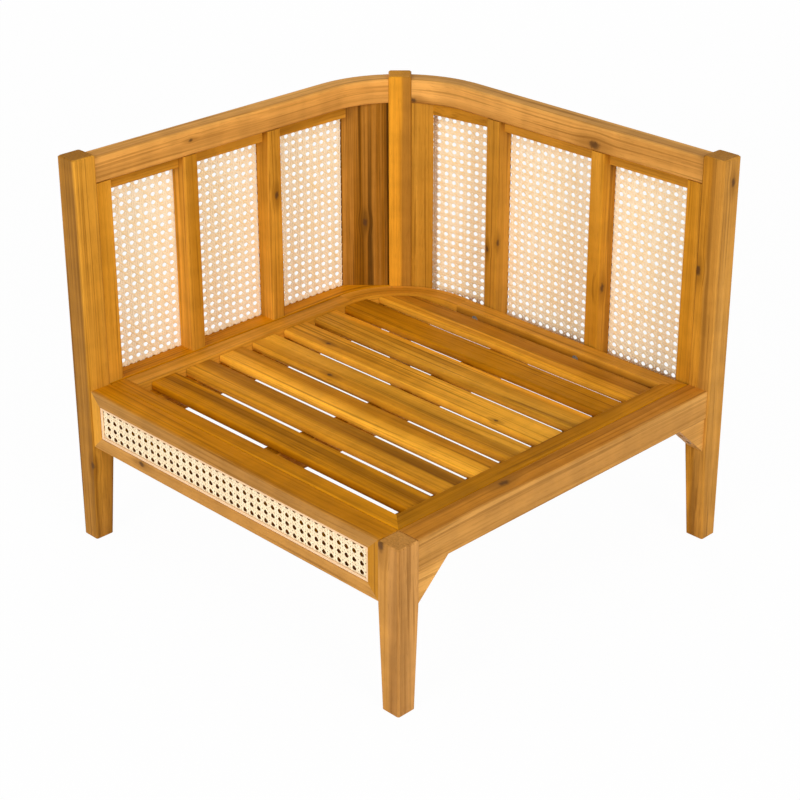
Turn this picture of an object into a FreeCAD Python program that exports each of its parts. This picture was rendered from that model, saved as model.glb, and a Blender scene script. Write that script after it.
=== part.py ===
"""Outdoor corner chair: a slatted seat in a square frame with cane-filled backs on two sides.

Frame: millimetres, +Z up, origin on the floor under the middle of the footprint.
The cane apron faces -Y, the open side with the two brackets faces +X, and the two backs
stand along -X (left) and +Y (rear) and curve into the corner post at -X +Y.
"""
import FreeCAD, Part
import math
import os

V = FreeCAD.Vector

# Overall sizes
overall_width = 710.0
overall_depth = 710.0
overall_height = 636.0
seat_height = 263.0

# Posts and legs
post_size = 40.0
foot_size = 32.0
taper_height = 165.0
post_edge_radius = 3.0
post_top_chamfer = 2.0
corner_post_width = 38.0

# Backs: rails, uprights and the curve into the corner post
back_depth = 34.0
back_reveal = 3.0
corner_radius = 145.0
top_rail_drop = 5.0
top_rail_height = 41.0
bottom_rail_height = 45.0
rear_bottom_rail_drop = 25.0
rail_edge_radius = 4.0
stile_width = 28.0
upright_width = 26.0
upright_edge_radius = 2.5
left_upright_1_offset = 180.0
left_upright_2_offset = 351.0
rear_upright_1_offset = 201.0
rear_upright_2_offset = 421.0
corner_board_width = 85.0
corner_board_thickness = 15.0
corner_stile_width = 37.0
corner_stile_thickness = 26.0
corner_piece_reveal = 3.5
corner_board_gap = 1.5
corner_board_gap_depth = 9.0

# Cane panels and the beads above them
cane_thickness = 2.5
cane_pitch_level = 15.1
cane_pitch_upright = 13.6
cane_hole = 7.6
cane_setback = 0.5
cane_groove_depth = 4.0
cane_clearance = 0.25
bead_depth = 16.0
bead_height = 20.0

# Front apron frame around its cane panel
front_frame_height = 95.0
front_frame_member = 20.0
front_reveal = 2.0
front_cane_setback = 3.0
front_rows_drop = 5.2
reed_width = 4.0
reed_depth = 2.5
reed_edge_radius = 1.0

# Side apron and its two brackets
side_apron_height = 47.0
side_reveal = 3.0
bracket_length = 62.0
bracket_drop = 57.0
bracket_thickness = 26.0
bracket_reveal = 2.0

# Seat ring, slats and what carries them
ring_width = 32.0
ring_front_width = 28.0
ring_height = 45.0
ring_edge_radius = 1.5
ring_clearance = 0.8
ring_corner_straight = 22.0
slat_count = 8
slat_width = 50.0
slat_thickness = 14.0
slat_drop = 4.0
slat_edge_radius = 3.0
slat_end_clearance = 1.0
slat_front_gap = 26.0
slat_rear_gap = 13.0
ledger_width = 24.0
ledger_height = 40.0
beam_width = 28.0
beam_height = 43.0

# Joinery
tenon_thickness = 12.0
tenon_length = 14.0
tenon_shoulder = 8.0
stub_size = 12.0
stub_length = 10.0
joint_clearance = 0.2
dowel_diameter = 8.0
dowel_length = 32.0
dowel_edge_distance = 25.0
dowel_wall = 4.0

# Fasteners
bolt_diameter = 6.0
bolt_length = 46.0
bolt_head_diameter = 13.0
bolt_head_height = 4.0
bolt_end_distance = 120.0
rear_bolt_drop = 14.0
screw_diameter = 4.0
screw_head_diameter = 8.0
screw_head_height = 3.0
slat_screw_bite = 9.0
bracket_screw_length = 34.0
bracket_screw_inset = 0.32
bracket_bore_diameter = 9.0

# Derived places
half_width = overall_width / 2
half_depth = overall_depth / 2
inner_x = half_width - post_size
inner_y = half_depth - post_size
corner_x = -inner_x + corner_radius
corner_y = inner_y - corner_radius
frame_inner = corner_radius + back_reveal
frame_outer = frame_inner + back_depth
cane_face = frame_outer - cane_setback - cane_thickness
top_rail_top = overall_height - top_rail_drop
top_rail_bottom = top_rail_top - top_rail_height
bead_bottom = top_rail_bottom - bead_height
ring_bottom = seat_height - ring_height
opening_x = inner_x - ring_width
opening_y = inner_y - ring_width
opening_front = ring_front_width - inner_y
slat_top = seat_height - slat_drop
slat_bottom = slat_top - slat_thickness
root2 = math.sqrt(2)

parts = {}


def left(u, v, z=0.0):
    """Plan point of the left back: u runs from the corner curve towards the post, v outwards."""
    return V(corner_x - v, corner_y - u, z)


def rear(u, v, z=0.0):
    """Plan point of the rear back: u runs from the corner curve towards the post, v outwards."""
    return V(corner_x + u, corner_y + v, z)


def run_to_post(side):
    """Length of the straight stretch from the corner curve to the post's inner face."""
    if side is left:
        return corner_y + inner_y
    return inner_x - corner_x


def diagonal(side, t, d, z=0.0):
    """Plan point by the corner's diagonal: d outwards along it, t across it towards the side."""
    return side((t - d) / root2, (t + d) / root2, z)


def box(x0, x1, y0, y1, z0, z1):
    return Part.makeBox(x1 - x0, y1 - y0, z1 - z0, V(x0, y0, z0))


def polygon_prism(points, height):
    """Upright prism over plan points that all lie at its bottom."""
    wire = Part.makePolygon(list(points) + [points[0]])
    return Part.Face(wire).extrude(V(0, 0, height))


def side_box(side, u0, u1, v0, v1, z0, z1):
    corners = [side(u0, v0, z0), side(u1, v0, z0), side(u1, v1, z0), side(u0, v1, z0)]
    return polygon_prism(corners, z1 - z0)


def diagonal_box(side, t0, t1, d0, d1, z0, z1):
    spots = [(t0, d0), (t1, d0), (t1, d1), (t0, d1)]
    return polygon_prism([diagonal(side, t, d, z0) for t, d in spots], z1 - z0)


def rod(start, direction, diameter, length):
    return Part.makeCylinder(diameter / 2, length, start, direction)


def upright_edges(shape):
    return [e for e in shape.Edges if abs(e.tangentAt(e.FirstParameter).z) > 0.99]


def long_edges(shape, least):
    """The edges along a member, which are the ones that are rounded over."""
    return [e for e in shape.Edges if e.Length > least]


def cut(name, tool):
    parts[name] = parts[name].cut(tool)


# Posts and legs

def rounded_square(x0, y0, size_x, size_y, z, radius):
    """Closed plan outline with rounded corners, drawn from its lowest corner."""
    x1 = x0 + size_x
    y1 = y0 + size_y
    bend = radius * (1 - 1 / root2)
    spots = [
        (V(x0 + radius, y0, z), V(x1 - radius, y0, z), V(x1 - bend, y0 + bend, z)),
        (V(x1, y0 + radius, z), V(x1, y1 - radius, z), V(x1 - bend, y1 - bend, z)),
        (V(x1 - radius, y1, z), V(x0 + radius, y1, z), V(x0 + bend, y1 - bend, z)),
        (V(x0, y1 - radius, z), V(x0, y0 + radius, z), V(x0 + bend, y0 + bend, z)),
    ]
    edges = []
    for i, (start, end, middle) in enumerate(spots):
        following = spots[(i + 1) % len(spots)][0]
        edges.append(Part.LineSegment(start, end).toShape())
        edges.append(Part.Arc(end, middle, following).toShape())
    return Part.Wire(edges)


def square_post(outer_x, outer_y, top):
    """Square post whose two inner faces taper towards the floor and whose top edge is chamfered."""
    def section(size, z, inset=0.0):
        x0 = outer_x if outer_x < 0 else outer_x - size
        y0 = outer_y if outer_y < 0 else outer_y - size
        side = size - 2 * inset
        return rounded_square(x0 + inset, y0 + inset, side, side, z, post_edge_radius)
    sections = [
        section(foot_size, 0.0),
        section(post_size, taper_height),
        section(post_size, top - post_top_chamfer),
        section(post_size, top, post_top_chamfer),
    ]
    return Part.makeLoft(sections, True, True)


def corner_post():
    """Post across the corner's diagonal; its inner face and both sides taper, its back stays upright."""
    back = corner_radius + post_size

    def section(width, size, z, inset=0.0):
        half = width / 2 - inset
        wire = rounded_square(-half, back - size + inset, 2 * half, size - 2 * inset, z, post_edge_radius)
        wire.rotate(V(0, 0, 0), V(0, 0, 1), 45)
        wire.translate(V(corner_x, corner_y, 0))
        return wire
    sections = [
        section(foot_size, foot_size, 0.0),
        section(corner_post_width, post_size, taper_height),
        section(corner_post_width, post_size, overall_height - post_top_chamfer),
        section(corner_post_width, post_size, overall_height, post_top_chamfer),
    ]
    return Part.makeLoft(sections, True, True)


parts["left_post"] = square_post(-half_width, -half_depth, overall_height)
parts["right_post"] = square_post(half_width, half_depth, overall_height)
parts["front_leg"] = square_post(half_width, -half_depth, seat_height)
parts["corner_post"] = corner_post()


# Backs

def band(side, v0, v1, z0, z1):
    """Straight stretch from the post, then an eighth of a turn to the corner's diagonal."""
    end = run_to_post(side)
    bend = math.radians(22.5)

    def arc_points(radius):
        begin = side(0, radius, z0)
        middle = side(-radius * math.sin(bend), radius * math.cos(bend), z0)
        return begin, middle, side(-radius / root2, radius / root2, z0)
    outer_begin, outer_middle, outer_end = arc_points(v1)
    inner_begin, inner_middle, inner_end = arc_points(v0)
    edges = [
        Part.LineSegment(side(end, v1, z0), outer_begin).toShape(),
        Part.Arc(outer_begin, outer_middle, outer_end).toShape(),
        Part.LineSegment(outer_end, inner_end).toShape(),
        Part.Arc(inner_end, inner_middle, inner_begin).toShape(),
        Part.LineSegment(inner_begin, side(end, v0, z0)).toShape(),
        Part.LineSegment(side(end, v0, z0), side(end, v1, z0)).toShape(),
    ]
    return Part.Face(Part.Wire(edges)).extrude(V(0, 0, z1 - z0))


def post_slot():
    """The space across the diagonal that the corner post takes up between the two backs."""
    half = corner_post_width / 2
    reach = corner_radius + 2 * post_size
    return diagonal_box(left, -half, half, 0.0, reach, 0.0, overall_height)


def back_rail(name, side, post, z0, z1, round_edges):
    """A rail from its post to the corner post, with a tenon into each of them."""
    rail = band(side, frame_inner, frame_outer, z0, z1)
    if round_edges:
        rail = rail.makeFillet(rail_edge_radius, long_edges(rail, top_rail_height + back_depth))
    rail = rail.cut(post_slot())
    middle = (frame_inner + frame_outer) / 2
    end = run_to_post(side)
    half = corner_post_width / 2
    diagonal_middle = corner_radius + post_size / 2

    def tenons(extra):
        low = z0 + tenon_shoulder - extra
        high = z1 - tenon_shoulder + extra
        thick = tenon_thickness / 2 + extra
        length = tenon_length + extra
        at_post = side_box(side, end, end + length, middle - thick, middle + thick, low, high)
        at_corner = diagonal_box(
            side, half - length, half, diagonal_middle - thick, diagonal_middle + thick, low, high)
        return at_post, at_corner
    parts[name] = rail.fuse(tenons(0.0)).removeSplitter()
    post_mortise, corner_mortise = tenons(joint_clearance)
    cut(post, post_mortise)
    cut("corner_post", corner_mortise)


def back_upright(name, side, u, width, low, rails):
    """An upright between the two rails, with a stub tenon into each."""
    middle = (frame_inner + frame_outer) / 2
    body = side_box(side, u - width / 2, u + width / 2, frame_inner, frame_outer, low, top_rail_bottom)
    body = body.makeFillet(upright_edge_radius, upright_edges(body))

    def stubs(extra):
        half = stub_size / 2 + extra
        return side_box(
            side, u - half, u + half, middle - half, middle + half,
            low - stub_length - extra, top_rail_bottom + stub_length + extra)
    parts[name] = body.fuse(stubs(0.0)).removeSplitter()
    for rail in rails:
        cut(rail, stubs(joint_clearance))


def corner_piece(side, gap, width, thickness, low):
    """A flat board beside the corner post, square to the corner's diagonal, kept inside the back."""
    half = corner_post_width / 2
    front = corner_radius + corner_piece_reveal
    board = diagonal_box(side, half, half + width, front, front + thickness, low, top_rail_bottom)
    if gap:
        board = board.cut(diagonal_box(
            side, half, half + gap, front, front + corner_board_gap_depth, low, top_rail_bottom))
    return board.common(band(side, corner_radius / 2, frame_outer, low, top_rail_bottom))


def holed_plate(start, end, normal, z0, z1, margin, hole_z0, hole_z1):
    """A plate on the line from start to end, with a square field of eight-sided holes."""
    along = (end - start).normalize()
    length = (end - start).Length
    columns = int((length - 2 * margin) / cane_pitch_level)
    rows = int((hole_z1 - hole_z0) / cane_pitch_upright)
    first_s = (length - (columns - 1) * cane_pitch_level) / 2
    first_z = (hole_z0 + hole_z1 - (rows - 1) * cane_pitch_upright) / 2
    corner_reach = cane_hole / 2 / math.cos(math.pi / 8)

    def at(s, z):
        return start + along * s + V(0, 0, z)

    def loop(s, z):
        turns = [math.pi / 8 - math.pi / 4 * k for k in range(8)]
        ring = [at(s + corner_reach * math.cos(a), z + corner_reach * math.sin(a)) for a in turns]
        return Part.makePolygon(ring + [ring[0]])
    outline = Part.makePolygon([at(0, z0), at(length, z0), at(length, z1), at(0, z1), at(0, z0)])
    loops = [
        loop(first_s + i * cane_pitch_level, first_z + j * cane_pitch_upright)
        for i in range(columns) for j in range(rows)
    ]
    return Part.Face([outline] + loops).extrude(normal * cane_thickness)


def groove_tool(start, end, normal, z0, z1):
    """The plate's own space grown by the clearance, which cuts its groove in what holds it."""
    along = (end - start).normalize()
    c = cane_clearance
    low = V(0, 0, z0 - c)
    corners = [
        start - along * c - normal * c + low, end + along * c - normal * c + low,
        end + along * c + normal * (cane_thickness + c) + low,
        start - along * c + normal * (cane_thickness + c) + low,
    ]
    return polygon_prism(corners, z1 - z0 + 2 * c)


def back_cane(name, side, u0, v0, u1, v1, low, holders):
    """A cane panel let into grooves all round, and the bead that backs it under the top rail."""
    along = (side(u1, v1) - side(u0, v0)).normalize()
    start = side(u0, v0) - along * cane_groove_depth
    end = side(u1, v1) + along * cane_groove_depth
    normal = V(-along.y, along.x, 0)
    if normal.dot(side(0, 1) - side(0, 0)) < 0:
        normal = normal * -1
    z0 = low - cane_groove_depth
    z1 = top_rail_bottom + cane_groove_depth
    parts[name] = holed_plate(start, end, normal, z0, z1, cane_groove_depth, low, bead_bottom)
    tool = groove_tool(start, end, normal, z0, z1)
    for holder in holders:
        cut(holder, tool)
    spots = [(u0, v0 - bead_depth), (u1, v1 - bead_depth), (u1, v1), (u0, v0)]
    bead = polygon_prism([side(u, v, bead_bottom) for u, v in spots], bead_height)
    parts[name.replace("cane", "bead")] = bead.cut(parts[holders[-1]])


def build_back(label, side, post, low, offsets):
    """One back: two rails, the post's stile and two uprights. Returns the uprights' places."""
    end = run_to_post(side)
    rails = [label + "_top_rail", label + "_bottom_rail"]
    back_rail(rails[0], side, post, top_rail_bottom, top_rail_top, True)
    back_rail(rails[1], side, post, low - bottom_rail_height, low, False)
    back_upright(label + "_stile", side, end - stile_width / 2, stile_width, low, rails)
    places = [end - offset for offset in offsets]
    for number, u in enumerate(places, 1):
        back_upright("%s_upright_%d" % (label, number), side, u, upright_width, low, rails)
    return places


left_low = seat_height
rear_low = seat_height - rear_bottom_rail_drop
left_places = build_back("left", left, "left_post", left_low, (left_upright_1_offset, left_upright_2_offset))
rear_places = build_back("rear", rear, "right_post", rear_low, (rear_upright_1_offset, rear_upright_2_offset))
parts["left_corner_board"] = corner_piece(
    left, corner_board_gap, corner_board_width, corner_board_thickness, left_low)
parts["rear_corner_stile"] = corner_piece(rear, 0.0, corner_stile_width, corner_stile_thickness, rear_low)


def build_canes(label, side, low, places, corner_u, corner_v, corner_name):
    """Three panels of one back, numbered from the post; the last one leans in with the curve."""
    half = upright_width / 2
    first, second = places
    rails = [label + "_top_rail", label + "_bottom_rail"]
    uprights = [label + "_upright_1", label + "_upright_2"]
    back_cane(label + "_cane_1", side, first + half, cane_face, run_to_post(side) - stile_width, cane_face,
              low, rails + [label + "_stile", uprights[0]])
    back_cane(label + "_cane_2", side, second + half, cane_face, first - half, cane_face, low, rails + uprights)
    back_cane(label + "_cane_3", side, corner_u, corner_v, second - half, cane_face,
              low, rails + [uprights[1], corner_name])


def board_end(width, depth):
    """Where the corner piece's far end lies, in the back's own plan directions."""
    t = corner_post_width / 2 + width
    d = corner_radius + corner_piece_reveal + depth
    return (t - d) / root2, (t + d) / root2


left_end_u, left_end_v = board_end(corner_board_width, 0.0)
rear_end_u, rear_end_v = board_end(corner_stile_width, corner_stile_thickness - cane_groove_depth)
build_canes("left", left, left_low, left_places, left_end_u, left_end_v - cane_groove_depth, "left_corner_board")
build_canes("rear", rear, rear_low, rear_places, rear_end_u, rear_end_v - cane_thickness, "rear_corner_stile")


# Front apron: a mitred frame around a cane panel

front_face = -half_depth + front_reveal
front_back = -inner_y
front_low = seat_height - front_frame_height


def front_member(spots):
    wire = Part.makePolygon([V(x, front_face, z) for x, z in spots + [spots[0]]])
    body = Part.Face(wire).extrude(V(0, front_back - front_face, 0))
    return body


m = front_frame_member
front_top = front_member([
    (-inner_x, seat_height), (inner_x, seat_height), (inner_x - m, seat_height - m), (-inner_x + m, seat_height - m)])
front_top_edges = [e for e in long_edges(front_top, inner_x) if e.CenterOfMass.z > seat_height - joint_clearance]
parts["front_top_rail"] = front_top.makeFillet(ring_edge_radius, front_top_edges)
parts["front_bottom_rail"] = front_member([
    (-inner_x, front_low), (inner_x, front_low), (inner_x - m, front_low + m), (-inner_x + m, front_low + m)])
parts["front_left_stile"] = front_member([
    (-inner_x, front_low), (-inner_x, seat_height), (-inner_x + m, seat_height - m), (-inner_x + m, front_low + m)])
parts["front_right_stile"] = front_member([
    (inner_x, front_low), (inner_x, seat_height), (inner_x - m, seat_height - m), (inner_x - m, front_low + m)])

front_cane_y = front_face + front_cane_setback
front_reach = inner_x - m + cane_groove_depth
front_cane_low = front_low + m
front_cane_high = seat_height - m
front_plate = (
    V(-front_reach, front_cane_y, 0), V(front_reach, front_cane_y, 0), V(0, 1, 0),
    front_cane_low - cane_groove_depth, front_cane_high + cane_groove_depth)
parts["front_cane"] = holed_plate(
    *front_plate, cane_groove_depth + reed_width,
    front_cane_low + reed_width - front_rows_drop, front_cane_high - reed_width - front_rows_drop)
reed_face = front_cane_y - reed_depth
reed_x = inner_x - m - joint_clearance
reed_low = front_cane_low + joint_clearance
reed_high = front_cane_high - joint_clearance
reed = box(-reed_x, reed_x, reed_face, front_cane_y, reed_low, reed_high).cut(box(
    -reed_x + reed_width, reed_x - reed_width, reed_face, front_cane_y,
    reed_low + reed_width, reed_high - reed_width))
reed_edges = [e for e in reed.Edges if e.CenterOfMass.y < reed_face + joint_clearance]
parts["front_reed"] = reed.makeFillet(reed_edge_radius, reed_edges)
for member in ("front_top_rail", "front_bottom_rail", "front_left_stile", "front_right_stile"):
    cut(member, groove_tool(*front_plate))

# Side apron with a tenon into each post, and its brackets

apron_x0 = inner_x
apron_x1 = half_width - side_reveal
apron_low = seat_height - side_apron_height
apron_middle = (apron_x0 + apron_x1) / 2


def apron_tenon(sign, extra):
    """The tenon at one end of the side apron; sign is the end's side along Y."""
    near = sign * inner_y
    far = sign * (inner_y + tenon_length + extra)
    half = tenon_thickness / 2 + extra
    return box(
        apron_middle - half, apron_middle + half, min(near, far), max(near, far),
        apron_low + tenon_shoulder - extra, seat_height - tenon_shoulder + extra)


apron = box(apron_x0, apron_x1, -inner_y, inner_y, apron_low, seat_height)
apron = apron.makeFillet(ring_edge_radius, long_edges(apron, inner_y))
parts["side_apron"] = apron.fuse([apron_tenon(1, 0.0), apron_tenon(-1, 0.0)]).removeSplitter()
cut("right_post", apron_tenon(1, joint_clearance))
cut("front_leg", apron_tenon(-1, joint_clearance))

bracket_x1 = apron_x1 - bracket_reveal
bracket_x0 = bracket_x1 - bracket_thickness
bracket_screws = []


def bracket(name, sign, post):
    """A triangular bracket under the apron, with a screw up into it and one into the post."""
    spots = [(inner_y, apron_low), (inner_y - bracket_length, apron_low), (inner_y, apron_low - bracket_drop)]
    wire = Part.makePolygon([V(bracket_x0, sign * y, z) for y, z in spots + [spots[0]]])
    parts[name] = Part.Face(wire).extrude(V(bracket_thickness, 0, 0))
    middle = (bracket_x0 + bracket_x1) / 2
    near = bracket_screw_inset
    up_y = sign * (inner_y - bracket_length * (1 - near))
    up_z = apron_low - bracket_drop * near
    out_y = sign * (inner_y - bracket_length * near)
    out_z = apron_low - bracket_drop * (1 - near)
    seat = screw_head_height + bracket_bore_diameter / 2
    for start, direction, target in (
            (V(middle, up_y, up_z + seat), V(0, 0, 1), "side_apron"),
            (V(middle, out_y + sign * seat, out_z), V(0, sign, 0), post)):
        head = rod(start - direction * screw_head_height, direction, screw_head_diameter, screw_head_height)
        shank = rod(start, direction, screw_diameter, bracket_screw_length)
        bore_start = start - direction * (screw_head_height + bracket_drop)
        bore = rod(bore_start, direction, bracket_bore_diameter, screw_head_height + bracket_drop)
        bracket_screws.append(head.fuse(shank).removeSplitter())
        cut(name, bore.fuse(shank))
        cut(target, shank)


bracket("side_bracket_rear", 1, "right_post")
bracket("side_bracket_front", -1, "front_leg")
parts["bracket_screws"] = Part.makeCompound(bracket_screws)

# Seat ring: four rails and the curved corner that joins two of them


def ring_rail(spots, low=ring_bottom):
    rail = polygon_prism([V(x, y, low) for x, y in spots], seat_height - low)
    return rail.makeFillet(ring_edge_radius, long_edges(rail, inner_x / 2))


ring_x = inner_x - ring_clearance
ring_y = inner_y - ring_clearance
parts["ring_front_rail"] = ring_rail([
    (-ring_x, -ring_y), (ring_x, -ring_y), (opening_x, opening_front), (-ring_x, opening_front)], front_low)
parts["ring_side_rail"] = ring_rail([
    (ring_x, -ring_y), (ring_x, ring_y), (opening_x, opening_y), (opening_x, opening_front)])
ring_joint_x = corner_x + ring_corner_straight
parts["ring_rear_rail"] = ring_rail([
    (ring_joint_x, ring_y), (ring_joint_x, opening_y), (opening_x, opening_y), (ring_x, ring_y)])
parts["ring_left_rail"] = ring_rail([
    (-ring_x, opening_front), (-opening_x, opening_front), (-opening_x, corner_y), (-ring_x, corner_y)])


def quarter_disc(radius, z0, z1):
    return Part.makeCylinder(radius, z1 - z0, V(corner_x, corner_y, z0), V(0, 0, 1), 90).rotate(
        V(corner_x, corner_y, 0), V(0, 0, 1), 90)


outer_disc = quarter_disc(corner_radius - ring_clearance, ring_bottom, seat_height)
curve = outer_disc.cut(quarter_disc(corner_radius - ring_width, ring_bottom, seat_height))
straight = box(corner_x, ring_joint_x, opening_y, ring_y, ring_bottom, seat_height)
parts["ring_corner"] = curve.fuse(straight).removeSplitter()


def opening_prism(inset, z0, z1):
    """The space inside the ring, drawn in by an inset, with its rounded corner."""
    x1 = opening_x - inset
    y1 = opening_y - inset
    radius = corner_radius - ring_width - inset
    whole = box(-x1, x1, opening_front + inset, y1, z0, z1)
    corner = box(-x1, corner_x, corner_y, y1, z0, z1)
    return whole.cut(corner).fuse(quarter_disc(radius, z0, z1)).removeSplitter()


# Slats and what carries them

slat_run = opening_y - slat_rear_gap - opening_front - slat_front_gap
slat_gap = (slat_run - slat_count * slat_width) / (slat_count - 1)
slat_space = opening_prism(slat_end_clearance, slat_bottom, slat_top)
ledger_low = slat_bottom - ledger_height
beam_low = slat_bottom - beam_height
ledger_space = opening_prism(0.0, ledger_low, slat_bottom)
left_ledger = box(-opening_x, -opening_x + ledger_width, opening_front, opening_y, ledger_low, slat_bottom)
parts["left_ledger"] = left_ledger.common(ledger_space)
parts["side_ledger"] = box(
    opening_x - ledger_width, opening_x, opening_front, opening_y, ledger_low, slat_bottom)
parts["centre_beam"] = box(-beam_width / 2, beam_width / 2, opening_front, opening_y, beam_low, slat_bottom)

slat_screws = []
carriers = (
    ("left_ledger", -opening_x + ledger_width / 2, ledger_low),
    ("centre_beam", 0.0, beam_low),
    ("side_ledger", opening_x - ledger_width / 2, ledger_low),
)
for number in range(1, slat_count + 1):
    y0 = opening_front + slat_front_gap + (number - 1) * (slat_width + slat_gap)
    slat = box(-opening_x, opening_x, y0, y0 + slat_width, slat_bottom, slat_top)
    slat = slat.makeFillet(slat_edge_radius, long_edges(slat, opening_x))
    name = "slat_%d" % number
    parts[name] = slat.common(slat_space)
    for carrier, x, low in carriers:
        spot = V(x, y0 + slat_width / 2, low)
        if not parts[carrier].isInside(spot + V(0, 0, screw_head_height), joint_clearance, True):
            continue
        head = rod(spot, V(0, 0, 1), screw_head_diameter, screw_head_height)
        shank = rod(spot, V(0, 0, 1), screw_diameter, slat_bottom - low + slat_screw_bite)
        screw = head.fuse(shank).removeSplitter()
        slat_screws.append(screw)
        cut(carrier, screw)
        cut(name, screw)
parts["slat_screws"] = Part.makeCompound(slat_screws)

# Bolts from the ring into the aprons and the backs' bottom rails

ring_bolts = []


def ring_bolt(start, direction, ring_part, target):
    """A bolt whose head is let into the ring's inner face."""
    head = rod(start, direction, bolt_head_diameter, bolt_head_height)
    shank = rod(start, direction, bolt_diameter, bolt_head_height + bolt_length)
    bolt = head.fuse(shank).removeSplitter()
    ring_bolts.append(bolt)
    cut(ring_part, bolt)
    cut(target, bolt)


bolt_x = inner_x - bolt_end_distance
bolt_y = inner_y - bolt_end_distance
ring_middle = seat_height - ring_height / 2
for x in (-bolt_x, bolt_x):
    start = V(x, opening_front, seat_height - front_frame_member / 2)
    ring_bolt(start, V(0, -1, 0), "ring_front_rail", "front_top_rail")
for y in (-bolt_y, bolt_y):
    ring_bolt(V(opening_x, y, ring_middle), V(1, 0, 0), "ring_side_rail", "side_apron")
upright_u, next_u = left_places
for u in ((upright_u + run_to_post(left)) / 2, (upright_u + next_u) / 2):
    start = left(u, corner_radius - ring_width, ring_middle)
    ring_bolt(start, V(-1, 0, 0), "ring_left_rail", "left_bottom_rail")
for number, u in enumerate(rear_places, 1):
    start = rear(u, corner_radius - ring_width, seat_height - rear_bolt_drop)
    ring_bolt(start, V(0, 1, 0), "ring_rear_rail", "rear_upright_%d" % number)
parts["ring_bolts"] = Part.makeCompound(ring_bolts)

# Dowels between the front frame's ends and its two posts

front_dowels = []
dowel_y = front_cane_y + cane_thickness + dowel_wall + dowel_diameter / 2
for sign, stile, post in ((-1, "front_left_stile", "left_post"), (1, "front_right_stile", "front_leg")):
    for z in (front_low + dowel_edge_distance, seat_height - dowel_edge_distance):
        start = V(sign * (inner_x - m / 2), dowel_y, z)
        dowel = rod(start, V(sign, 0, 0), dowel_diameter, dowel_length)
        front_dowels.append(dowel)
        cut(stile, dowel)
        cut(post, dowel)
parts["front_dowels"] = Part.makeCompound(front_dowels)

# Output

os.makedirs("parts", exist_ok=True)
for name, shape in parts.items():
    shape.exportStep("parts/%s.step" % name)
    print("%-20s solids %2d volume %9.0f" % (name, len(shape.Solids), shape.Volume))
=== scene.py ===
"""Looks of the outdoor corner chair: oiled hardwood with a soft figure, and woven cane."""

import math
import random

import bpy
import numpy as np
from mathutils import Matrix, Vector


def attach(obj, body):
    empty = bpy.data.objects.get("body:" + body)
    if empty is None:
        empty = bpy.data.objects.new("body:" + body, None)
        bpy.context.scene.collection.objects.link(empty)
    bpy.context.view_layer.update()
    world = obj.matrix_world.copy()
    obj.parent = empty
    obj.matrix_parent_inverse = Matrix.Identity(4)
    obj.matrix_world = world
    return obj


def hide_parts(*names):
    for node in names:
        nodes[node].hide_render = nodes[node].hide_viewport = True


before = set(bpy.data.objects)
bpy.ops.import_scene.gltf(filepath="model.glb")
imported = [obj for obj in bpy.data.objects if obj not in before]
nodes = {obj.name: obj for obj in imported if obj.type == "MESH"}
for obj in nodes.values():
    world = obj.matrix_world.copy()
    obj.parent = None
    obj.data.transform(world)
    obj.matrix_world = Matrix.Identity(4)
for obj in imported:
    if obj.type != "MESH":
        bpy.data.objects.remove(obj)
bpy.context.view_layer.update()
scene = bpy.context.scene
scene.view_settings.view_transform = "Standard"

VECTOR = "NodeSocketVector"
COLOUR = "NodeSocketColor"
VALUE = "NodeSocketFloat"
GEOMETRY = "NodeSocketGeometry"
MATERIAL = "NodeSocketMaterial"


# Node helpers

def place(tree, kind, inputs=None, **settings):
    """Add a node, set its options, and link or set its inputs by name or number."""
    node = tree.nodes.new(kind)
    for key, value in settings.items():
        setattr(node, key, value)
    for key, value in (inputs or {}).items():
        socket = node.inputs[key]
        if isinstance(value, bpy.types.NodeSocket):
            tree.links.new(value, socket)
        else:
            socket.default_value = value
    return node


def output(tree, kind, inputs=None, **settings):
    """Add a node and give its first output."""
    return place(tree, kind, inputs, **settings).outputs[0]


def calculate(tree, operation, first, second=0.0, third=0.0):
    return output(tree, "ShaderNodeMath", {0: first, 1: second, 2: third}, operation=operation)


def spread(tree, value, from_low, from_high, to_low=0.0, to_high=1.0):
    """Map a value smoothly from one range to another."""
    inputs = {"Value": value, 1: from_low, 2: from_high, 3: to_low, 4: to_high}
    return output(tree, "ShaderNodeMapRange", inputs, interpolation_type="SMOOTHSTEP")


def mix_colour(tree, factor, first, second, blend="MIX"):
    inputs = {0: factor, 6: first, 7: second}
    return place(tree, "ShaderNodeMix", inputs, data_type="RGBA", blend_type=blend).outputs[2]


def join(tree, operation, first, second):
    return output(tree, "ShaderNodeVectorMath", {0: first, 1: second}, operation=operation)


def scaled(tree, vector, factor):
    return output(tree, "ShaderNodeVectorMath", {0: vector, "Scale": factor}, operation="SCALE")


def length_of(tree, vector):
    return place(tree, "ShaderNodeVectorMath", {0: vector}, operation="LENGTH").outputs["Value"]


def turned(tree, vector, turn):
    inputs = {"Vector": vector, "Rotation": turn}
    return output(tree, "ShaderNodeVectorRotate", inputs, rotation_type="EULER_XYZ")


def stretched_noise(tree, vector, scale, detail=2.0, roughness=0.5):
    """Noise that changes as often per metre on each axis as the three numbers of scale say."""
    wide = join(tree, "MULTIPLY", vector, scale)
    inputs = {"Vector": wide, "Scale": 1.0, "Detail": detail, "Roughness": roughness}
    return output(tree, "ShaderNodeTexNoise", inputs)


def new_group(name, kind, inputs, outputs):
    group = bpy.data.node_groups.new(name, kind)
    for in_out, sockets in (("INPUT", inputs), ("OUTPUT", outputs)):
        for label, socket in sockets:
            group.interface.new_socket(label, in_out=in_out, socket_type=socket)
    return group, group.nodes.new("NodeGroupInput"), group.nodes.new("NodeGroupOutput")


def new_finish(name):
    """An empty material and its node tree."""
    finish = bpy.data.materials.new(name)
    finish.use_nodes = True
    finish.node_tree.nodes.clear()
    return finish, finish.node_tree


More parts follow.
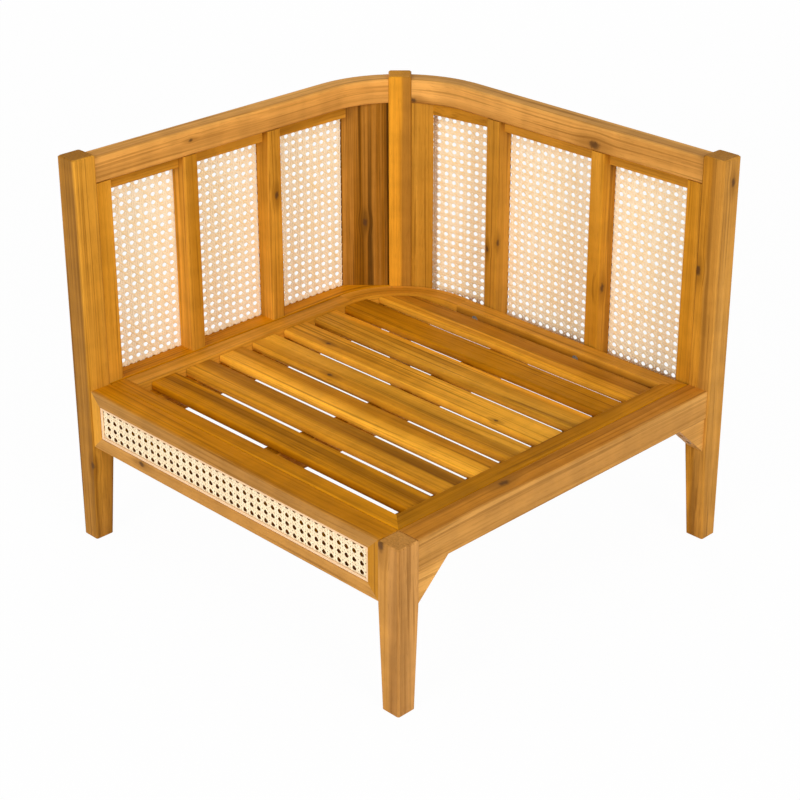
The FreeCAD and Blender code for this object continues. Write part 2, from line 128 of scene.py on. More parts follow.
def dress(name, finish):
    """Give a solid its finish."""
    materials = nodes[name].data.materials
    materials.clear()
    materials.append(finish)


# Wood

# Knots: how the knot and the smudge round it are drawn out, how they bend the lines, and how they show
KNOT_OVAL = (0.6, 1.0, 1.0)
SMUDGE_OVAL = (0.22, 1.0, 1.0)
ACROSS_GRAIN = (0.0, 1.0, 1.0)
KNOT_PUSH = 0.5
KNOT_PUSH_REACH = 4.0
RAGGED_SCALE = (170.0, 170.0, 170.0)
RAGGED_SHARE = 0.35
KNOT_COLOUR = (0.085, 0.036, 0.012, 1.0)
KNOT_SHARE = 0.85
SMUDGE_SHARE = 0.5

# Figure: how often each layer changes per metre, along the grain and in both directions across it
SWAY_SCALE = (1.4, 6.0, 6.0)
ZONE_SCALE = (1.1, 24.0, 24.0)
SOFT_SCALE = (1.6, 80.0, 80.0)
HEART_SCALE = (1.0, 34.0, 34.0)
LINE_SCALE = (2.4, 260.0, 260.0)
THIN_SCALE = (1.8, 170.0, 170.0)
PORE_SCALE = (55.0, 700.0, 700.0)
SHEEN_SCALE = (26.0, 12.0, 12.0)
WAVER_SCALE = (5.0, 8.0, 8.0)
SPECKLE_SCALE = (40.0, 330.0, 330.0)

# How far the lines sway, how far the edge between two tones wavers, and half the width of that edge
SWAY = 0.024
WAVER = 0.012
EDGE_BLUR = 0.004

# How strongly the pores show
PORE_SHARE = 0.20


def round_knot(group, spot, along, turn, knot_spot, knot_size):
    """Lead the grain lines round a knot, and give the masks of the knot and of the smudge round it."""
    offset = turned(group, join(group, "SUBTRACT", spot, knot_spot), turn)
    reach = length_of(group, join(group, "MULTIPLY", offset, KNOT_OVAL))
    reach = calculate(group, "DIVIDE", reach, knot_size)
    push = spread(group, reach, 0.0, KNOT_PUSH_REACH, KNOT_PUSH, 0.0)
    sideways = join(group, "MULTIPLY", offset, ACROSS_GRAIN)
    bent = join(group, "SUBTRACT", along, scaled(group, sideways, push))
    ragged = calculate(group, "SUBTRACT", stretched_noise(group, spot, RAGGED_SCALE), 0.5)
    ragged = calculate(group, "ADD", reach, ragged)
    smudge = length_of(group, join(group, "MULTIPLY", offset, SMUDGE_OVAL))
    smudge = calculate(group, "DIVIDE", smudge, knot_size)
    smudge = calculate(group, "MULTIPLY_ADD", ragged, RAGGED_SHARE, smudge)
    knot = spread(group, ragged, 0.3, 1.15, 1.0, 0.0)
    return bent, knot, spread(group, smudge, 0.7, 3.4, 1.0, 0.0)


def wood_grain_group():
    """Board figure: broad zones, soft streaks, fine lines, pores, knots, a change of tone (on some pieces
    painted light and shade on their faces) and end grain.
    """
    group, given, result = new_group(
        "wood_grain", "ShaderNodeTree",
        [("Spot", VECTOR), ("Facing", VECTOR), ("Turn", VECTOR), ("Shift", VECTOR),
         ("Pale", COLOUR), ("Warm", COLOUR), ("Dark", COLOUR), ("Streaks", VALUE), ("Fineness", VALUE),
         ("Split direction", VECTOR), ("Split at", VALUE), ("Split tone", COLOUR),
         ("Knot spot", VECTOR), ("Knot size", VALUE),
         ("Second knot spot", VECTOR), ("Second knot size", VALUE)],
        [("Colour", COLOUR), ("Roughness", VALUE), ("Height", VALUE)])
    values = given.outputs
    spot, turn = values["Spot"], values["Turn"]
    warm, dark = values["Warm"], values["Dark"]

    # Where each spot lies in the board, with the lines led round the knots
    along = join(group, "ADD", turned(group, spot, turn), values["Shift"])
    along, knot, smudge = round_knot(group, spot, along, turn, values["Knot spot"], values["Knot size"])
    along, second_knot, second_smudge = round_knot(
        group, spot, along, turn, values["Second knot spot"], values["Second knot size"])
    knot = calculate(group, "MAXIMUM", knot, second_knot)
    smudge = calculate(group, "MAXIMUM", smudge, second_smudge)
    sway = stretched_noise(group, along, SWAY_SCALE, 1.0)
    sway = calculate(group, "MULTIPLY_ADD", sway, SWAY, -SWAY / 2)
    along = join(group, "ADD", along, output(group, "ShaderNodeCombineXYZ", {1: sway, 2: sway}))
    fine = values["Fineness"]
    finer = output(group, "ShaderNodeCombineXYZ", {0: 1.0, 1: fine, 2: fine})
    along = join(group, "MULTIPLY", along, finer)

    # Zones, streaks, lines and pores
    zones = stretched_noise(group, along, ZONE_SCALE)
    colour = mix_colour(group, spread(group, zones, 0.36, 0.64), values["Pale"], warm)
    soft = spread(group, stretched_noise(group, along, SOFT_SCALE, 1.5), 0.42, 0.66, 0.0, 0.34)
    colour = mix_colour(group, soft, colour, mix_colour(group, 0.25, warm, dark))
    heart = spread(group, stretched_noise(group, along, HEART_SCALE), 0.54, 0.70)
    heart = calculate(group, "MULTIPLY", heart, values["Streaks"])
    colour = mix_colour(group, heart, colour, dark)
    lines = stretched_noise(group, along, LINE_SCALE, 2.0, 0.6)
    colour = mix_colour(group, spread(group, lines, 0.45, 0.78, 0.0, 0.44), colour, dark)
    thin = spread(group, stretched_noise(group, along, THIN_SCALE, 1.0), 0.60, 0.68, 0.0, 0.46)
    colour = mix_colour(group, thin, colour, dark)
    pores = spread(group, stretched_noise(group, along, PORE_SCALE, 1.0), 0.58, 0.70)
    colour = mix_colour(group, calculate(group, "MULTIPLY", pores, PORE_SHARE), colour, dark)
    sheen = spread(group, stretched_noise(group, along, SHEEN_SCALE), 0.3, 0.7, 0.93, 1.07)
    colour = scaled(group, colour, sheen)

    # Change of tone across the board, which on some pieces is painted shade and painted light on some faces
    compared = {0: spot, 1: values["Split direction"]}
    across = place(group, "ShaderNodeVectorMath", compared, operation="DOT_PRODUCT").outputs["Value"]
    past = calculate(group, "SUBTRACT", across, values["Split at"])
    waver = stretched_noise(group, along, WAVER_SCALE)
    past = calculate(group, "ADD", past, calculate(group, "MULTIPLY_ADD", waver, WAVER, -WAVER / 2))
    past = spread(group, past, -EDGE_BLUR, EDGE_BLUR)
    colour = mix_colour(group, past, colour, values["Split tone"], "MULTIPLY")

    # Knots and end grain
    colour = mix_colour(group, calculate(group, "MULTIPLY", smudge, SMUDGE_SHARE), colour, dark)
    colour = mix_colour(group, calculate(group, "MULTIPLY", knot, KNOT_SHARE), colour, KNOT_COLOUR)
    end = output(group, "ShaderNodeSeparateXYZ", {0: turned(group, values["Facing"], turn)})
    end = spread(group, calculate(group, "ABSOLUTE", end), 0.75, 0.95, 0.0, 0.8)
    speckle = stretched_noise(group, along, SPECKLE_SCALE, 3.0, 0.6)
    speckle = spread(group, speckle, 0.35, 0.65, 0.05, 0.5)
    colour = mix_colour(group, end, colour, mix_colour(group, speckle, warm, dark))

    group.links.new(colour, result.inputs["Colour"])
    group.links.new(spread(group, lines, 0.3, 0.75, 0.40, 0.56), result.inputs["Roughness"])
    height = calculate(group, "SUBTRACT", calculate(group, "MULTIPLY", lines, 0.4), pores)
    group.links.new(height, result.inputs["Height"])
    return group


WOOD_GRAIN = wood_grain_group()
GRAIN_TURN = {"x": (0.0, 0.0, 0.0), "y": (0.0, 0.0, -math.pi / 2), "z": (0.0, math.pi / 2, 0.0)}

# Pale, warm and dark tone of each cut of the wood
HONEY = ((0.73, 0.325, 0.034), (0.54, 0.222, 0.014), (0.20, 0.068, 0.002))
AMBER = ((0.64, 0.252, 0.004), (0.48, 0.174, 0.002), (0.17, 0.054, 0.0005))
GOLDEN = ((0.86, 0.405, 0.034), (0.60, 0.252, 0.014), (0.17, 0.062, 0.002))
STRAW = ((0.74, 0.365, 0.086), (0.57, 0.262, 0.054), (0.24, 0.094, 0.012))
TAWNY = ((0.735, 0.345, 0.060), (0.555, 0.242, 0.034), (0.22, 0.081, 0.007))
HEARTWOOD = ((0.60, 0.250, 0.034), (0.30, 0.104, 0.003), (0.045, 0.015, 0.0003))
SAPWOOD = ((0.92, 0.410, 0.034), (0.80, 0.335, 0.022), (0.40, 0.152, 0.008))
FINE_GRAIN = {"left_corner_board": 3.0, "right_post": 1.4, "left_post": 1.3}
NO_KNOT = ((9.0, 9.0, 9.0), 0.01)
NO_SPLIT = ((0.0, 0.0, 0.0), 1.0, (1.0, 1.0, 1.0))

# Each piece takes its stretch of figure from within this many metres
FIGURE_REACH = 4.0
FIRST_WOOD_SEED = 11

# Pieces bent round the corner, and whether they come from the left back
CURVED = {
    "left_top_rail": True, "left_bottom_rail": True,
    "rear_top_rail": False, "rear_bottom_rail": False, "ring_corner": False,
}
BEND_CENTRE = 0.170
BEND_RADIUS = 0.165


def straightened(tree, spot, from_left):
    """Lay a bent piece out straight, so that its grain follows the bend."""
    parts = place(tree, "ShaderNodeSeparateXYZ", {0: spot}).outputs
    x, y = parts[0], parts[1]
    if from_left:
        x, y = [calculate(tree, "MULTIPLY", part, -1.0) for part in (parts[1], parts[0])]
    along = calculate(tree, "ADD", x, BEND_CENTRE)
    out = calculate(tree, "SUBTRACT", y, BEND_CENTRE)
    into_bend = calculate(tree, "MULTIPLY", calculate(tree, "MINIMUM", along, 0.0), -1.0)
    angle = calculate(tree, "ARCTAN2", into_bend, out)
    square = calculate(tree, "MULTIPLY", into_bend, into_bend)
    reach = calculate(tree, "SQRT", calculate(tree, "MULTIPLY_ADD", out, out, square))
    straight = calculate(tree, "MAXIMUM", along, 0.0)
    run = calculate(tree, "SUBTRACT", straight, calculate(tree, "MULTIPLY", angle, BEND_RADIUS))
    laid = {
        0: calculate(tree, "SUBTRACT", run, BEND_CENTRE),
        1: calculate(tree, "ADD", reach, BEND_CENTRE),
        2: parts[2],
    }
    return output(tree, "ShaderNodeCombineXYZ", laid)


def wood_finish(name, axis, tones, streaks, shade, seed, knots, split):
    """Oiled wood for one piece, with its grain along an axis and its own stretch of figure."""
    finish, tree = new_finish("wood_" + name)
    chance = random.Random(seed)
    pale, warm, dark = [(*[part * shade for part in tone], 1.0) for tone in tones]
    (knot_spot, knot_size), (second_spot, second_size) = (list(knots) + [NO_KNOT, NO_KNOT])[:2]
    direction, at, tone = split
    coords = place(tree, "ShaderNodeTexCoord").outputs
    grain = place(tree, "ShaderNodeGroup", node_tree=WOOD_GRAIN)
    spot = coords["Object"]
    if name in CURVED:
        spot = straightened(tree, spot, CURVED[name])
    else:
        tree.links.new(coords["Normal"], grain.inputs["Facing"])
    tree.links.new(spot, grain.inputs["Spot"])
    values = {
        "Turn": GRAIN_TURN[axis],
        "Shift": [chance.uniform(-FIGURE_REACH, FIGURE_REACH) for _ in range(3)],
        "Pale": pale, "Warm": warm, "Dark": dark, "Streaks": streaks,
        "Fineness": FINE_GRAIN.get(name, 1.0),
        "Split direction": direction, "Split at": at, "Split tone": (*tone, 1.0),
        "Knot spot": knot_spot, "Knot size": knot_size,
        "Second knot spot": second_spot, "Second knot size": second_size,
    }
    for key, value in values.items():
        grain.inputs[key].default_value = value
    relief = {"Height": grain.outputs["Height"], "Strength": 0.2, "Distance": 0.0005}
    shader = output(
        tree, "ShaderNodeBsdfPrincipled",
        {"Base Color": grain.outputs["Colour"], "Roughness": grain.outputs["Roughness"],
         "Normal": output(tree, "ShaderNodeBump", relief), "IOR": 1.45, "Specular IOR Level": 0.08})
    place(tree, "ShaderNodeOutputMaterial", {"Surface": shader})
    return finish


# Grain direction, tones, how streaked and how bright each wooden piece is
WOOD_PIECES = {
    "left_post": ("z", HONEY, 0.50, 0.88), "right_post": ("z", TAWNY, 0.65, 0.86),
    "front_leg": ("z", STRAW, 0.30, 1.00), "corner_post": ("z", SAPWOOD, 0.12, 0.90),
    "left_top_rail": ("x", STRAW, 0.35, 1.23), "rear_top_rail": ("x", STRAW, 0.35, 1.04),
    "left_bottom_rail": ("x", AMBER, 0.30, 1.22), "rear_bottom_rail": ("x", AMBER, 0.40, 1.0),
    "left_stile": ("z", HONEY, 0.20, 1.06), "left_upright_1": ("z", HONEY, 0.30, 1.04),
    "left_upright_2": ("z", HONEY, 0.30, 1.02), "left_corner_board": ("z", HEARTWOOD, 0.75, 0.84),
    "rear_stile": ("z", HONEY, 0.20, 1.05), "rear_upright_1": ("z", HONEY, 0.40, 1.00),
    "rear_upright_2": ("z", HONEY, 0.30, 0.72), "rear_corner_stile": ("z", HONEY, 0.30, 0.76),
    "front_top_rail": ("x", STRAW, 0.25, 0.75), "front_bottom_rail": ("x", STRAW, 0.25, 0.90),
    "front_left_stile": ("z", HONEY, 0.15, 1.0), "front_right_stile": ("z", HONEY, 0.15, 1.0),
    "side_apron": ("y", STRAW, 0.45, 0.90), "side_bracket_front": ("y", STRAW, 0.15, 1.00),
    "side_bracket_rear": ("y", STRAW, 0.15, 1.00),
    "ring_front_rail": ("x", AMBER, 0.45, 1.06), "ring_side_rail": ("y", AMBER, 0.35, 0.82),
    "ring_rear_rail": ("x", HONEY, 0.30, 0.98), "ring_left_rail": ("y", HONEY, 0.20, 1.06),
    "ring_corner": ("x", HONEY, 0.15, 1.08),
    "left_ledger": ("y", AMBER, 0.30, 1.0), "side_ledger": ("y", AMBER, 0.30, 1.0),
    "centre_beam": ("y", AMBER, 0.30, 1.0), "front_dowels": ("x", HONEY, 0.10, 1.0),
    "slat_1": ("x", AMBER, 0.55, 0.94), "slat_2": ("x", GOLDEN, 0.45, 1.10),
    "slat_3": ("x", GOLDEN, 0.30, 1.22), "slat_4": ("x", GOLDEN, 0.35, 0.98),
    "slat_5": ("x", GOLDEN, 0.25, 1.06), "slat_6": ("x", GOLDEN, 0.45, 0.90),
    "slat_7": ("x", AMBER, 0.45, 0.82), "slat_8": ("x", GOLDEN, 0.35, 1.12),
}
for side, axis in (("left", "y"), ("rear", "x")):
    for number in (1, 2, 3):
        WOOD_PIECES["%s_bead_%d" % (side, number)] = (axis, HONEY, 0.25, 0.9)

# Knots: where the middle of each one shows, and how far it reaches
KNOTS = {
    "rear_top_rail": [((0.1065, 0.318, 0.600), 0.008), ((-0.275, 0.318, 0.596), 0.005)],
    "left_top_rail": [((0.134, 0.318, 0.614), 0.003)],
    "left_upright_2": [((-0.318, 0.037, 0.479), 0.005)],
    "rear_upright_1": [((0.127, 0.327, 0.364), 0.006)],
    "rear_upright_2": [((-0.113, 0.318, 0.364), 0.004), ((-0.093, 0.322, 0.379), 0.004)],
    "left_corner_board": [((-0.317, 0.233, 0.3785), 0.005)],
    "side_apron": [((0.327, -0.119, 0.263), 0.007)],
    "left_post": [((-0.321, -0.355, 0.132), 0.005)],
    "front_bottom_rail": [((-0.197, -0.353, 0.182), 0.005)],
    "front_leg": [((0.322, -0.355, 0.258), 0.007)],
    "right_post": [((0.319, 0.315, 0.455), 0.006), ((0.355, 0.339, 0.598), 0.005)],
    "slat_5": [((-0.193, 0.030, 0.259), 0.004), ((0.184, 0.020, 0.259), 0.003)],
    "slat_4": [((-0.106, -0.048, 0.259), 0.004)],
}

# Pieces of two tones: direction of the change, where it lies, and what the further side is multiplied by;
# the entries marked below are painted shade and painted light
SPLITS = {
    "corner_post": ((0.7071, 0.7071, 0.0), 0.002, (0.56, 0.56, 0.95)),
    "left_post": ((-1.0, 0.0, 0.0), 0.3185, (0.66, 0.64, 0.8)),
    # Painted light: the right post's left face is painted more orange than its paler, pinker right face,
    # standing in for the different light on the two faces
    "right_post": ((-1.0, 0.0, 0.0), -0.333, (1.0, 0.92, 0.5)),
    # Partly painted shade: the front leg's right part is painted darker, in part a stripe in the wood and
    # in part shade on that side
    "front_leg": ((1.0, 0.0, 0.0), 0.336, (0.82, 0.80, 0.90)),
    # Painted shade: the left uprights' front faces are painted darker than their side faces, as light falls
    # on them
    "left_upright_1": ((1.0, 0.0, 0.0), -0.3205, (0.82, 0.80, 0.72)),
    "left_upright_2": ((1.0, 0.0, 0.0), -0.3205, (0.82, 0.80, 0.72)),
    # Painted shade and light: the deeper part of the first rear upright's side face is painted darker, and
    # the second rear upright's side face is painted lighter
    "rear_upright_1": ((0.0, 1.0, 0.0), 0.338, (0.66, 0.60, 0.5)),
    "rear_upright_2": ((0.0, 1.0, 0.0), 0.321, (1.14, 1.17, 1.4)),
    # Painted shade: the rear seat rail's inner face below its top edge is painted darker, as the shade
    # there
    "ring_rear_rail": ((0.0, 0.0, -1.0), -0.260, (0.74, 0.68, 0.5)),
    # Painted light and shade: the tops of the side apron and the front top rail are tinted a deeper amber
    # than their faces, as light falls differently on tops and faces
    "side_apron": ((-0.7071, 0.0, 0.7071), -0.0615, (0.90, 0.72, 0.30)),
    "front_top_rail": ((0.0, 0.7071, 0.7071), -0.063, (1.27, 1.01, 0.061)),
    "slat_2": ((0.0, 1.0, 0.0), -0.170, (0.58, 0.52, 0.42)),
    "slat_3": ((0.0, 1.0, 0.0), -0.098, (0.72, 0.66, 0.5)),
    "slat_6": ((0.0, 1.0, 0.0), 0.120, (1.30, 1.20, 0.9)),
    "slat_8": ((0.0, 1.0, 0.0), 0.240, (0.58, 0.50, 0.4)),
}
for seed, (name, (axis, tones, streaks, shade)) in enumerate(sorted(WOOD_PIECES.items()), FIRST_WOOD_SEED):
    knots = KNOTS.get(name, [])
    split = SPLITS.get(name, NO_SPLIT)
    dress(name, wood_finish(name, axis, tones, streaks, shade, seed, knots, split))


# Screws and bolts

STEEL_SHADES = ((0.15, 0.125, 0.10, 1.0), (0.34, 0.29, 0.22, 1.0))
STEEL_CLOUD_SCALE = (420.0, 420.0, 420.0)


def dark_steel():
    """Plated steel, a little uneven in shine."""
    finish, tree = new_finish("dark_steel")
    spot = place(tree, "ShaderNodeTexCoord").outputs["Object"]
    cloud = stretched_noise(tree, spot, STEEL_CLOUD_SCALE, 3.0)
    shade = mix_colour(tree, spread(tree, cloud, 0.3, 0.7), *STEEL_SHADES)
    shader = output(
        tree, "ShaderNodeBsdfPrincipled",
        {"Base Color": shade, "Metallic": 1.0, "Roughness": spread(tree, cloud, 0.3, 0.7, 0.32, 0.55)})
    place(tree, "ShaderNodeOutputMaterial", {"Surface": shader})
    return finish


STEEL = dark_steel()
for name in ("bracket_screws", "slat_screws", "ring_bolts"):
    dress(name, STEEL)


# Cane

# Spacing across and up, and how far each strand of a pair lies from the pair's middle
CANE_PITCH = (0.0151, 0.0136)
PAIR_SPREAD = (0.0020, 0.00178)
STRAND_WIDTH = 0.0032
STRAND_THICKNESS = 0.0007
STRAND_SIDES = 8
STEPS_PER_HOLE = 4

# Lines drawn beyond each edge of a panel, of which only what lies inside is kept
SPARE_LINES = 2

# Edges of the panels: the part held in the groove, the bead above, the reed round, and the strands' inset
GROOVE = 0.004
BEAD = 0.020
REED = 0.004
STRAND_INSET = 0.001
FRONT_ROWS_DROP = 0.0052

# Weave: how far each set of strands lies from the middle and waves, in thicknesses, and its wave's start
PAIR_LAYER = 0.15
SLANT_LAYER = 0.55
STRAND_WAVE = 0.35
PAIR_PHASE = 0.25
SLANT_PHASE = 0.5

# How far each set of strands leans from the pale tone to the warm one, and how much single strands differ
UPRIGHT_TONE = 0.0
# The warmer level and slanted sets are partly painted shade, standing in for the warm shade where strands
# cross; the spread between single strands is the cane's own
LEVEL_TONE = 0.5
SLANTED_TONE = 0.22
STRAND_VARIETY = 0.5

CANE_CLOUD_SCALE = (60.0, 60.0, 60.0)
FLECK_SCALE = (900.0, 900.0, 900.0)
FLECK_COLOUR = (0.60, 0.36, 0.17, 1.0)
FIRST_CANE_SEED = 101


def cane_finish(name, pale, warm):
    """Split cane: pale, finely flecked, every strand a little different."""
    finish, tree = new_finish(name)
    spot = place(tree, "ShaderNodeTexCoord").outputs["Object"]
    tint = place(tree, "ShaderNodeAttribute", attribute_name="tint").outputs["Fac"]
    cloud = stretched_noise(tree, spot, CANE_CLOUD_SCALE, 3.0)
    fleck = stretched_noise(tree, spot, FLECK_SCALE)
    amount = calculate(tree, "MULTIPLY_ADD", cloud, 0.6, calculate(tree, "MULTIPLY", tint, 0.5))
    shade = mix_colour(tree, spread(tree, amount, 0.2, 0.9), pale, warm)
    shade = mix_colour(tree, spread(tree, fleck, 0.6, 0.8, 0.0, 0.2), shade, FLECK_COLOUR)
    relief = {"Height": fleck, "Strength": 0.15, "Distance": 0.0003}
    shader = output(
        tree, "ShaderNodeBsdfPrincipled",
        {"Base Color": shade, "Roughness": spread(tree, fleck, 0.3, 0.7, 0.45, 0.62),
         "Normal": output(tree, "ShaderNodeBump", relief), "Specular IOR Level": 0.3})
    place(tree, "ShaderNodeOutputMaterial", {"Surface": shader})
    return finish


def strand_value(group, label):
    """A number that each strand's line carries."""
    return output(group, "GeometryNodeInputNamedAttribute", {"Name": label}, data_type="FLOAT")


def woven_strand_tree():
    """Turn lines into flat strands that pass over and under each other."""
    group, given, result = new_group(
        "woven_strand", "GeometryNodeTree",
        [("Lines", GEOMETRY), ("Step", VALUE), ("Width", VALUE), ("Thickness", VALUE),
         ("Facing", VECTOR), ("Finish", MATERIAL)],
        [("Strands", GEOMETRY)])
    values = given.outputs
    lines = output(group, "GeometryNodeMeshToCurve", {"Mesh": values["Lines"]})
    steps = {"Curve": lines, "Length": values["Step"]}
    fine = output(group, "GeometryNodeResampleCurve", steps, mode="LENGTH")
    run = place(group, "GeometryNodeSplineParameter").outputs["Length"]
    turns = calculate(group, "DIVIDE", run, strand_value(group, "period"))
    turns = calculate(group, "ADD", turns, strand_value(group, "phase"))
    sine = calculate(group, "SINE", calculate(group, "MULTIPLY", turns, 2 * math.pi))
    wave = calculate(group, "MULTIPLY_ADD", sine, STRAND_WAVE, strand_value(group, "layer"))
    lift = calculate(group, "MULTIPLY", wave, values["Thickness"])
    lifted = {"Geometry": fine, "Offset": scaled(group, values["Facing"], lift)}
    waved = output(group, "GeometryNodeSetPosition", lifted)
    flat = {"Curve": waved, "Normal": values["Facing"]}
    held = output(group, "GeometryNodeSetCurveNormal", flat, mode="FREE")
    circle = {"Resolution": STRAND_SIDES, "Radius": 0.5}
    ring = output(group, "GeometryNodeCurvePrimitiveCircle", circle)
    flattened = {0: values["Thickness"], 1: values["Width"], 2: 1.0}
    size = output(group, "ShaderNodeCombineXYZ", flattened)
    section = output(group, "GeometryNodeTransform", {"Geometry": ring, "Scale": size})
    sweep = {"Curve": held, "Profile Curve": section, "Fill Caps": True}
    strands = output(group, "GeometryNodeCurveToMesh", sweep)
    whole = output(group, "GeometryNodeRealizeInstances", {"Geometry": strands})
    dressed = output(group, "GeometryNodeSetMaterial", {"Geometry": whole, "Material": values["Finish"]})
    group.links.new(dressed, result.inputs[0])
    return group


WOVEN_STRAND = woven_strand_tree()


def panel_plane(name):
    """The panel's own directions and reach, taken from its solid."""
    points = np.array([v.co for v in nodes[name].data.vertices], float)
    plan = points[:, :2] - points[:, :2].mean(0)
    along = np.linalg.eigh(plan.T @ plan)[1][:, 1]
    facing = np.array([-along[1], along[0]])
    run = points[:, :2] @ along
    depth = points[:, :2] @ facing
    return {
        "along": along, "facing": facing, "depth": (depth.min() + depth.max()) / 2,
        "run": (run.min(), run.max()), "rise": (points[:, 2].min(), points[:, 2].max()),
    }


def clipped(start, direction, low, high):
    """The stretch of a line that lies inside a rectangle, or None."""
    near, far = -1e9, 1e9
    for axis in (0, 1):
        if abs(direction[axis]) < 1e-9:
            if not low[axis] < start[axis] < high[axis]:
                return None
            continue
        ends = sorted((edge[axis] - start[axis]) / direction[axis] for edge in (low, high))
        near = max(near, ends[0])
        far = min(far, ends[1])
    if far - near < CANE_PITCH[0] / 2:
        return None
    return [[start[axis] + direction[axis] * t for axis in (0, 1)] for t in (near, far)]


def cane_lines(low, high, middle, counts):
    """Strand lines round holes on an even grid: upright and level pairs, and two slanted sets."""
    across, up = CANE_PITCH
    slant = math.hypot(across, up)
    first = [middle[axis] - counts[axis] * CANE_PITCH[axis] / 2 for axis in (0, 1)]
    steps = [int((high[axis] - low[axis]) / CANE_PITCH[axis]) + 2 * SPARE_LINES for axis in (0, 1)]
    lines = []
    for sign in (-1, 1):
        phase = PAIR_PHASE * sign
        for k in range(-SPARE_LINES, steps[0]):
            start = (first[0] + k * across + sign * PAIR_SPREAD[0], low[1])
            lines.append((start, (0.0, 1.0), -PAIR_LAYER, phase, up, UPRIGHT_TONE))
        for k in range(-SPARE_LINES, steps[1]):
            start = (low[0], first[1] + k * up + sign * PAIR_SPREAD[1])
            lines.append((start, (1.0, 0.0), PAIR_LAYER, phase, across, LEVEL_TONE))
    for k in range(-sum(steps), sum(steps)):
        start = (first[0] + (k + 0.5) * across, first[1])
        lines.append((start, (across / slant, up / slant), SLANT_LAYER, 0.0, slant, SLANTED_TONE))
        lines.append((start, (across / slant, -up / slant), -SLANT_LAYER, SLANT_PHASE, slant, SLANTED_TONE))
    return lines


def weave_cane(name, finish, seed):
    """Build one panel's woven cane where its solid stands."""
    plane = panel_plane(name)
    run, rise = plane["run"], plane["rise"]
    low = (run[0] + STRAND_INSET, rise[0] + STRAND_INSET)
    high = (run[1] - STRAND_INSET, rise[1] - STRAND_INSET)
    if name == "front_cane":
        edge = GROOVE + REED
        field = (rise[0] + edge - FRONT_ROWS_DROP, rise[1] - edge - FRONT_ROWS_DROP)
    else:
        edge = GROOVE
        field = (rise[0] + edge, rise[1] - edge - BEAD)
    sizes = (run[1] - run[0] - 2 * edge, field[1] - field[0])
    counts = [int((sizes[axis] + 1e-6) / CANE_PITCH[axis]) for axis in (0, 1)]
    middle = ((run[0] + run[1]) / 2, (field[0] + field[1]) / 2)
    chance = random.Random(seed)
    points, edges = [], []
    carried = {"layer": [], "phase": [], "period": [], "tint": []}
    for start, direction, layer, phase, period, tone in cane_lines(low, high, middle, counts):
        ends = clipped(start, direction, low, high)
        if ends is None:
            continue
        edges.append((len(points), len(points) + 1))
        tint = tone + STRAND_VARIETY * chance.random()
        for s, z in ends:
            x, y = plane["along"] * s + plane["facing"] * plane["depth"]
            points.append((x, y, z))
            for label, value in zip(carried, (layer, phase, period, tint)):
                carried[label].append(value)
    lines = bpy.data.meshes.new(name + "_lines")
    lines.from_pydata(points, edges, [])
    for label, values in carried.items():
        lines.attributes.new(label, "FLOAT", "POINT").data.foreach_set("value", values)
    draft = bpy.data.objects.new(name + "_draft", lines)
    scene.collection.objects.link(draft)
    weave = draft.modifiers.new("weave", "NODES")
    weave.node_group = WOVEN_STRAND
    items = WOVEN_STRAND.interface.items_tree
    sockets = {item.name: item.identifier for item in items if item.in_out == "INPUT"}
    weave[sockets["Step"]] = CANE_PITCH[1] / STEPS_PER_HOLE
    weave[sockets["Width"]] = STRAND_WIDTH
    weave[sockets["Thickness"]] = STRAND_THICKNESS
    weave[sockets["Facing"]] = (plane["facing"][0], plane["facing"][1], 0.0)
    weave[sockets["Finish"]] = finish
    bpy.context.view_layer.update()
    mesh = bpy.data.meshes.new_from_object(draft.evaluated_get(bpy.context.evaluated_depsgraph_get()))
    bpy.data.objects.remove(draft)
    woven = bpy.data.objects.new("woven_" + name, mesh)
    scene.collection.objects.link(woven)
    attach(woven, "root")
    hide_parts(name)


# The back cane's peach warmth is partly painted light: the glow of light shining through the thin cane from
# behind
BACK_CANE = cane_finish("back_cane", (0.99, 0.87, 0.67, 1.0), (0.98, 0.72, 0.37, 1.0))
FRONT_CANE = cane_finish("front_cane", (0.96, 0.81, 0.56, 1.0), (0.90, 0.70, 0.43, 1.0))
for seed, name in enumerate(sorted(n for n in nodes if "_cane" in n), FIRST_CANE_SEED):
    weave_cane(name, FRONT_CANE if name == "front_cane" else BACK_CANE, seed)
dress("front_reed", cane_finish("reed", (0.86, 0.58, 0.34, 1.0), (0.72, 0.42, 0.20, 1.0)))


# Floor, light and camera

WHITE = (1.0, 1.0, 1.0, 1.0)
FLOOR_COLOUR = (0.86, 0.86, 0.86, 1.0)
FLOOR_REACH = 20.0
FLOOR_WHITENESS = 0.97
WORLD_COLOUR = (1.0, 0.99, 0.97, 1.0)
WORLD_STRENGTH = 0.42

# Name, place, aim, width and power of each lamp, and whether its shine shows
LAMPS = (
    ("front_lamp", (1.2, -5.6, 2.7), (0.0, 0.0, 0.3), 2.5, 195.0, True),
    ("side_lamp", (5.6, -1.2, 2.7), (0.0, 0.0, 0.3), 2.5, 190.0, True),
    ("back_lamp", (-4.2, 4.2, 1.7), (0.0, 0.0, 0.4), 2.0, 90.0, False),
)

# Camera fitted to the photograph: angles in degrees, focal length in pixels of its width
AZIMUTH = 45.06
ELEVATION = 24.12
CAMERA_SPOT = (1.954, -1.940, 1.604)
CAMERA_SHIFT = (-0.0049, -0.1)
SENSOR_WIDTH = 36.0
FOCAL_PIXELS = 1984.0
PHOTO_WIDTH = 800.0


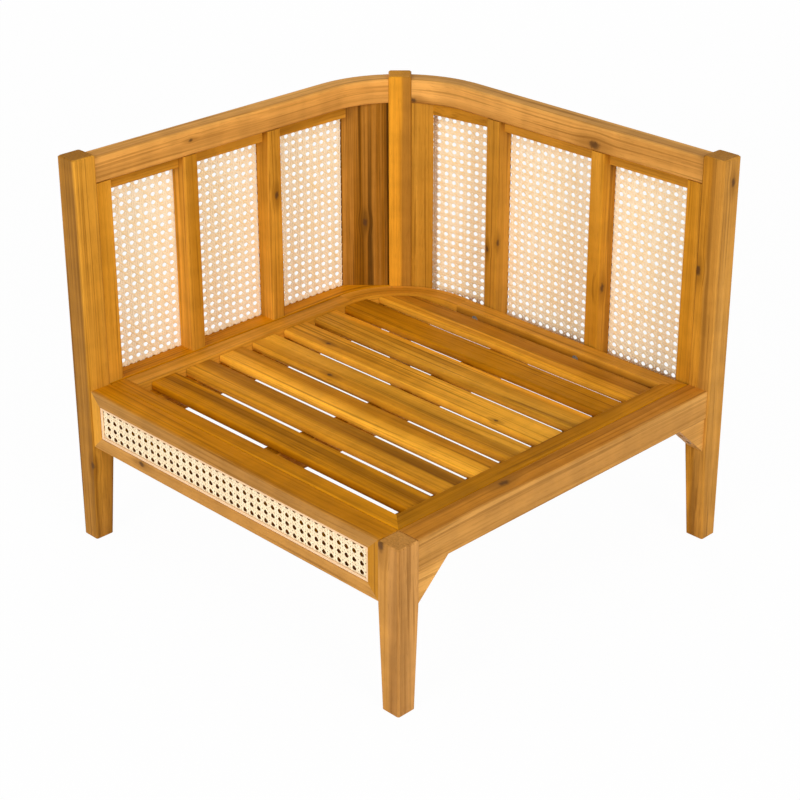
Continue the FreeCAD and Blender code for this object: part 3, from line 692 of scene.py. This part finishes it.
def pale_floor():
    """White floor that keeps a soft shadow."""
    finish, tree = new_finish("pale_floor")
    rays = place(tree, "ShaderNodeLightPath").outputs
    seen = calculate(tree, "MAXIMUM", rays["Is Camera Ray"], rays["Is Glossy Ray"])
    seen = calculate(tree, "MAXIMUM", seen, rays["Is Transmission Ray"])
    matte = output(tree, "ShaderNodeBsdfDiffuse", {"Color": FLOOR_COLOUR})
    glow = output(tree, "ShaderNodeEmission", {"Color": WHITE, "Strength": 1.0})
    share = calculate(tree, "MULTIPLY", seen, FLOOR_WHITENESS)
    mixed = output(tree, "ShaderNodeMixShader", {0: share, 1: matte, 2: glow})
    place(tree, "ShaderNodeOutputMaterial", {"Surface": mixed})
    mesh = bpy.data.meshes.new("floor")
    signs = ((-1, -1), (1, -1), (1, 1), (-1, 1))
    corners = [(x * FLOOR_REACH, y * FLOOR_REACH, 0.0) for x, y in signs]
    mesh.from_pydata(corners, [], [(0, 1, 2, 3)])
    mesh.materials.append(finish)
    floor = bpy.data.objects.new("floor", mesh)
    scene.collection.objects.link(floor)


def white_world():
    """Even light all round, and plain white behind the object."""
    world = bpy.data.worlds.new("studio")
    scene.world = world
    world.use_nodes = True
    tree = world.node_tree
    tree.nodes.clear()
    rays = place(tree, "ShaderNodeLightPath").outputs
    seen = calculate(tree, "MAXIMUM", rays["Is Camera Ray"], rays["Is Transmission Ray"])
    light = output(tree, "ShaderNodeBackground", {"Color": WORLD_COLOUR, "Strength": WORLD_STRENGTH})
    white = output(tree, "ShaderNodeBackground", {"Color": WHITE, "Strength": 1.0})
    mixed = output(tree, "ShaderNodeMixShader", {0: seen, 1: light, 2: white})
    place(tree, "ShaderNodeOutputWorld", {"Surface": mixed})


def facing_along(direction):
    """The turn of a lamp or camera that looks along a direction."""
    return direction.to_track_quat("-Z", "Y").to_euler()


def soft_lamp(name, spot, aim, size, power, shine):
    lamp = bpy.data.lights.new(name, "AREA")
    lamp.shape = "DISK"
    lamp.size = size
    lamp.energy = power
    holder = bpy.data.objects.new(name, lamp)
    holder.location = spot
    holder.visible_camera = False
    holder.visible_glossy = shine
    holder.rotation_euler = facing_along(Vector(aim) - Vector(spot))
    scene.collection.objects.link(holder)


def fitted_camera():
    """Camera that sees the chair as the photograph does."""
    lens = bpy.data.cameras.new("camera")
    lens.lens = SENSOR_WIDTH * FOCAL_PIXELS / PHOTO_WIDTH
    lens.shift_x, lens.shift_y = CAMERA_SHIFT
    lens.clip_end = 100.0
    camera = bpy.data.objects.new("camera", lens)
    azimuth = math.radians(AZIMUTH)
    elevation = math.radians(ELEVATION)
    level = math.cos(elevation)
    back = Vector((math.sin(azimuth) * level, -math.cos(azimuth) * level, math.sin(elevation)))
    camera.location = CAMERA_SPOT
    camera.rotation_euler = facing_along(-back)
    scene.collection.objects.link(camera)
    scene.camera = camera


pale_floor()
white_world()
for lamp_values in LAMPS:
    soft_lamp(*lamp_values)
fitted_camera()
